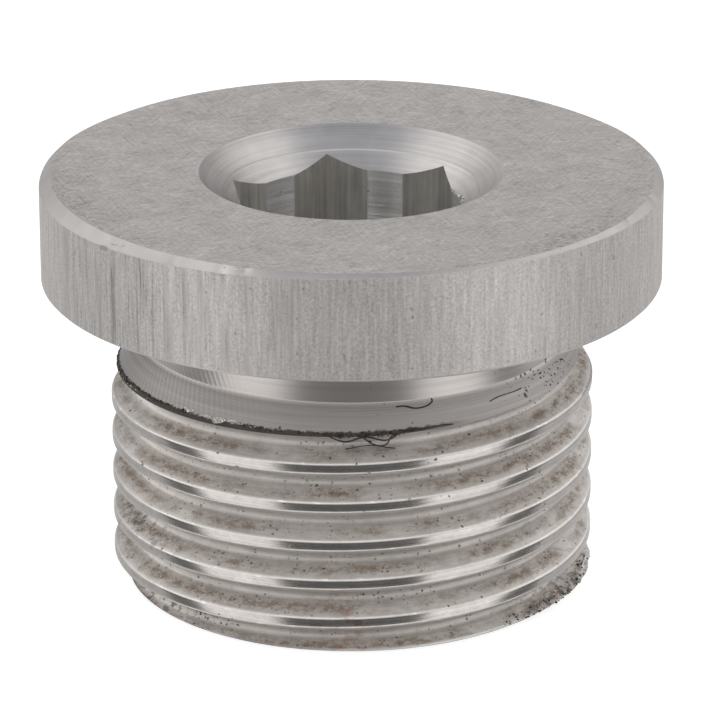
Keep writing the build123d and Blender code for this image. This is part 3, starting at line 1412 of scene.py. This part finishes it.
@dataclass
class Leftovers:
    """The dirt, fibres and burrs of use and machining."""

    fibres: list[Fibre] = field(default_factory=lambda: [
        Fibre("fibre_a", [(11.3, 8.1, -2.28), (13.5, 8.16, -2.2), (15.2, 8.18, -2.36), (17.0, 8.2, -2.4),
                          (20.2, 8.17, -2.33), (21.4, 8.08, -2.2), (20.8, 8.03, -2.12)]),
        Fibre("fibre_b", [(37.1, 8.31, -2.58), (39.8, 8.28, -2.44), (42.6, 8.28, -2.5), (46.2, 8.29, -2.54),
                          (48.0, 8.28, -2.48)], 0.016),
        Fibre("fibre_c", [(-6.0, 8.62, -3.1), (-3.0, 8.72, -3.3), (-1.0, 8.62, -3.42), (1.5, 8.6, -3.2),
                          (4.0, 8.64, -3.12), (6.5, 8.78, -3.26), (9.0, 8.74, -3.34),
                          (11.0, 8.6, -3.12)], 0.03),
        Fibre("fibre_d", [(2.0, 8.62, -3.08), (4.5, 8.76, -3.42), (7.2, 8.8, -3.55), (9.4, 8.74, -3.4),
                          (8.6, 8.62, -3.16), (11.8, 8.56, -3.02), (16.0, 8.58, -2.98)], 0.026),
        Fibre("fibre_e", [(-1.6, 8.5, -3.68), (1.0, 8.52, -3.6), (3.0, 8.6, -3.5), (6.0, 8.6, -3.46),
                          (8.0, 8.62, -3.62), (10.5, 8.6, -3.66)], 0.018),
        Fibre("fibre_f", [(10.0, 8.6, -3.14), (14.0, 8.62, -3.06), (18.0, 8.6, -3.0), (22.0, 8.58, -2.96),
                          (25.0, 8.6, -3.0)], 0.022),
    ])
    grit: list[Crumbs] = field(default_factory=lambda: [
        Crumbs("grit_left", 170, (-97, 8.7, -3.4), (-70, 8.6, -3.24), (0.02, 0.06), (0.016, 0.05), 3),
        Crumbs("grit_mid", 150, (-70, 8.62, -3.2), (-44, 8.6, -3.14), (0.02, 0.04), (0.014, 0.048), 5),
        Crumbs("grit_front", 150, (-28, 8.55, -3.08), (8, 8.62, -3.14), (0.03, 0.06), (0.014, 0.045), 7),
        Crumbs("grit_tangle", 80, (-8, 8.62, -3.16), (14, 8.6, -3.1), (0.05, 0.09), (0.02, 0.06), 11),
        Crumbs("grit_right", 70, (44, 8.25, -2.5), (76, 8.3, -2.55), (0.05, 0.3), (0.012, 0.04), 13),
        Crumbs("grit_end", 150, (40, 8.7, -11.3), (86, 8.86, -11.05), (0.02, 0.14), (0.016, 0.06), 17),
        Crumbs("grit_end_left", 50, (-68, 8.86, -10.75), (-30, 8.8, -11.2), (0.02, 0.14), (0.015, 0.05), 19),
    ])
    bright: list[Crumbs] = field(default_factory=lambda: [
        Crumbs("swarf_hexagon", 14, (118, 4.1, 2.72), (86, 4.1, 2.72), (0.1, 0.05), (0.02, 0.06), 23, True),
        Crumbs("swarf_rim_a", 9, (-48.4, 11.4, 3.78), (-45.4, 11.4, 3.84), (0.0, 0.015), (0.02, 0.04), 31),
        Crumbs("swarf_rim_b", 9, (-30.4, 11.4, 3.82), (-27.2, 11.4, 3.85), (0.0, 0.015), (0.02, 0.035), 37),
        Crumbs("swarf_rim_c", 6, (-20.8, 11.3, 3.86), (-19.4, 11.3, 3.92), (0.0, 0.03), (0.02, 0.045), 41),
        Crumbs("swarf_rim_d", 4, (-59.6, 11.1, 3.97), (-58.2, 11.1, 3.97), (0.0, 0.01), (0.02, 0.035), 43),
        Crumbs("swarf_left", 16, (-80, 8.66, -3.32), (-58, 8.62, -3.26), (0.02, 0.04), (0.015, 0.035), 29),
    ])
    burrs: list[Burr] = field(default_factory=lambda: [
        Burr("burr_a", (-47, 8.5, -3.02), (-41.5, 8.5, -3.0), 0.2, 0.7, 18, seed=2),
        Burr("burr_b", (-40.5, 8.51, -3.06), (-29.0, 8.5, -3.0), 0.24, 0.7, 36, seed=4),
        Burr("burr_end", (52, 8.72, -11.3), (86, 8.82, -11.02), 0.16, 0.4, 60, seed=6),
    ])

    def build(self, body: bpy.types.Object) -> None:
        """Makes every piece.

        Args:
            body: The finished plug.
        """
        dirt = Soil("soil").build()
        shine = TurnedMetal("torn_metal", (0.75, 0.73, 0.71), 0.3, 9.0, 9.0, 0.3, 0.01, 0.6, 0.12).build()
        bpy.context.view_layer.update()
        for fibre in self.fibres:
            fibre.build(dirt)
        for crumbs in self.grit:
            crumbs.build(dirt, body)
        for crumbs in self.bright:
            crumbs.build(shine, body)
        for burr in self.burrs:
            burr.build(shine)


# ---- studio ----------------------------------------------------------------


@dataclass
class Studio:
    """Floor, light tent, world and camera.

    Lengths are in metres, but the lens and the sensor in mm. Elevation and roll are in
    radians. The tent's brightness is given low down and high up, each as stops of (angle from the
    front in degrees, brightness). It goes over from the one to the other, to the cap at the
    top and to the foot between two heights each, in degrees above the floor.
    """

    floor_height: float
    floor_gap: float = 0.005 * MM      # keeps the floor out of the end face's plane
    lens: float = 248.79
    sensor: float = 36.0
    distance: float = 0.18582
    elevation: float = 0.36088
    aim: tuple[float, float, float] = (0.0003063, 0.0, -0.0034805)
    roll: float = -0.0022
    floor_radius: float = 1.2
    floor_glow: float = 0.79
    tent_radius: float = 1.5
    tent_low: tuple[Point, ...] = (
        (0, 0.14), (32, 0.14), (38, 1.3), (73, 1.3), (79, 0.17), (95, 0.17), (103, 0.64), (180, 0.64))
    tent_high: tuple[Point, ...] = (
        (0, 1.0), (45, 1.0), (75, 1.1), (105, 1.5), (125, 1.4), (150, 0.8), (180, 0.8))
    low_to_high: Point = (-8.0, 22.0)
    high_to_cap: Point = (55.0, 74.0)
    foot_to_low: Point = (-52.0, -38.0)
    cap: float = 0.62
    foot: float = 1.05
    warm: Colour = (1.0, 1.0, 1.0)
    cool: Colour = (0.93, 0.98, 1.08)

    def camera(self) -> None:
        """Sets the camera in front of the plug, looking down on it."""
        data = bpy.data.cameras.new("camera")
        data.lens = self.lens
        data.sensor_width = self.sensor
        data.clip_start = 0.005
        data.clip_end = 20.0
        camera = bpy.data.objects.new("camera", data)
        bpy.context.scene.collection.objects.link(camera)
        sine, cosine = math.sin(self.elevation), math.cos(self.elevation)
        ahead = Vector((0, cosine, -sine))
        up = Vector((0, sine, cosine))
        right = Vector((1, 0, 0))
        turned_right = math.cos(self.roll) * right + math.sin(self.roll) * up
        turned_up = math.cos(self.roll) * up - math.sin(self.roll) * right
        axes = Matrix((turned_right, turned_up, -ahead)).transposed().to_4x4()
        camera.matrix_world = Matrix.Translation(Vector(self.aim) - ahead * self.distance) @ axes
        bpy.context.scene.camera = camera

    def world(self) -> None:
        """A white world, which the camera sees past the floor."""
        world = bpy.data.worlds.new("studio")
        world.use_nodes = True
        world.node_tree.nodes["Background"].inputs["Color"].default_value = (1, 1, 1, 1)
        bpy.context.scene.world = world

    def floor(self) -> None:
        """A pale floor that shows as white where no shadow falls on it."""
        Bench.clear_selection()
        bpy.ops.mesh.primitive_circle_add(
            vertices=96, radius=self.floor_radius, fill_type="NGON",
            location=(0, 0, self.floor_height - self.floor_gap))
        floor = bpy.context.object
        floor.name = "floor"
        bpy.ops.object.transform_apply(location=True)
        graph = Graph("pale_floor")
        rays = graph.node("ShaderNodeLightPath")
        camera, glossy, through = (
            graph.out(rays, f"Is {kind} Ray") for kind in ("Camera", "Glossy", "Transmission"))
        glow = graph.node("ShaderNodeEmission")
        graph.feed(glow.inputs["Strength"], camera.most(glossy).most(through) * self.floor_glow)
        matt = graph.node("ShaderNodeBsdfDiffuse")
        matt.inputs["Color"].default_value = (0.4, 0.4, 0.4, 1)
        both = graph.node("ShaderNodeAddShader")
        graph.feed(both.inputs[0], graph.out(glow))
        graph.feed(both.inputs[1], graph.out(matt))
        graph.feed(graph.output.inputs["Surface"], graph.out(both))
        floor.data.materials.append(graph.material)
        floor.visible_glossy = False
        floor.visible_shadow = False

    def tent(self) -> None:
        """A tent of soft light: low down, bright panels at both sides and gaps in front and beyond."""
        Bench.clear_selection()
        bpy.ops.mesh.primitive_uv_sphere_add(segments=64, ring_count=32, radius=self.tent_radius)
        tent = bpy.context.object
        tent.name = "light_tent"
        graph = Graph("tent_cloth")
        side = abs(graph.bearing) * 360.0
        rise = graph.math("ARCTAN2", graph.z, graph.radius) * (180 / math.pi)
        level = self.bands(side, self.tent_low).toward(
            self.bands(side, self.tent_high), rise.step(*self.low_to_high))
        cap = rise.step(*self.high_to_cap)
        level = level.toward(self.cap, cap).toward(self.foot, rise.step(*self.foot_to_low, 1.0, 0.0))
        glow = graph.node("ShaderNodeEmission")
        graph.feed(glow.inputs["Color"], graph.mix(cap, self.warm, self.cool))
        graph.feed(glow.inputs["Strength"], level)
        graph.feed(graph.output.inputs["Surface"], graph.out(glow))
        graph.material.cycles.emission_sampling = "NONE"
        tent.data.materials.append(graph.material)
        tent.visible_camera = False

    @staticmethod
    def bands(angle: Value, stops: tuple[Point, ...]) -> Value:
        """Brightness by angle, in smooth steps between stops.

        Args:
            angle: The angle in degrees, from 0 to 180.
            stops: (angle, brightness) in order.

        Returns:
            The brightness.
        """
        level = stops[0][1]
        for (low, first), (high, last) in zip(stops, stops[1:]):
            if first != last:
                level = level + angle.step(low, high, 0.0, last - first)
        return level

    def build(self) -> None:
        """Sets up everything that isn't part of the plug."""
        self.camera()
        self.world()
        self.floor()
        self.tent()
        bpy.context.scene.view_settings.view_transform = "Standard"


def main() -> None:
    """Builds the studio and the plug."""
    logging.basicConfig(level=logging.INFO, format="%(name)s: %(message)s")
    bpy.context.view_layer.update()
    low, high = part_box(NODE)
    Studio(floor_height=low.z).build()
    plug = PlugBody(collar_radius=high.x / MM, collar_height=high.z / MM, shank_length=-low.z / MM)
    body = plug.build(plug_finishes(plug))
    Leftovers().build(body)
    LOG.info("%s: %d faces", body.name, len(body.data.polygons))


if __name__ == "__main__":
    main()
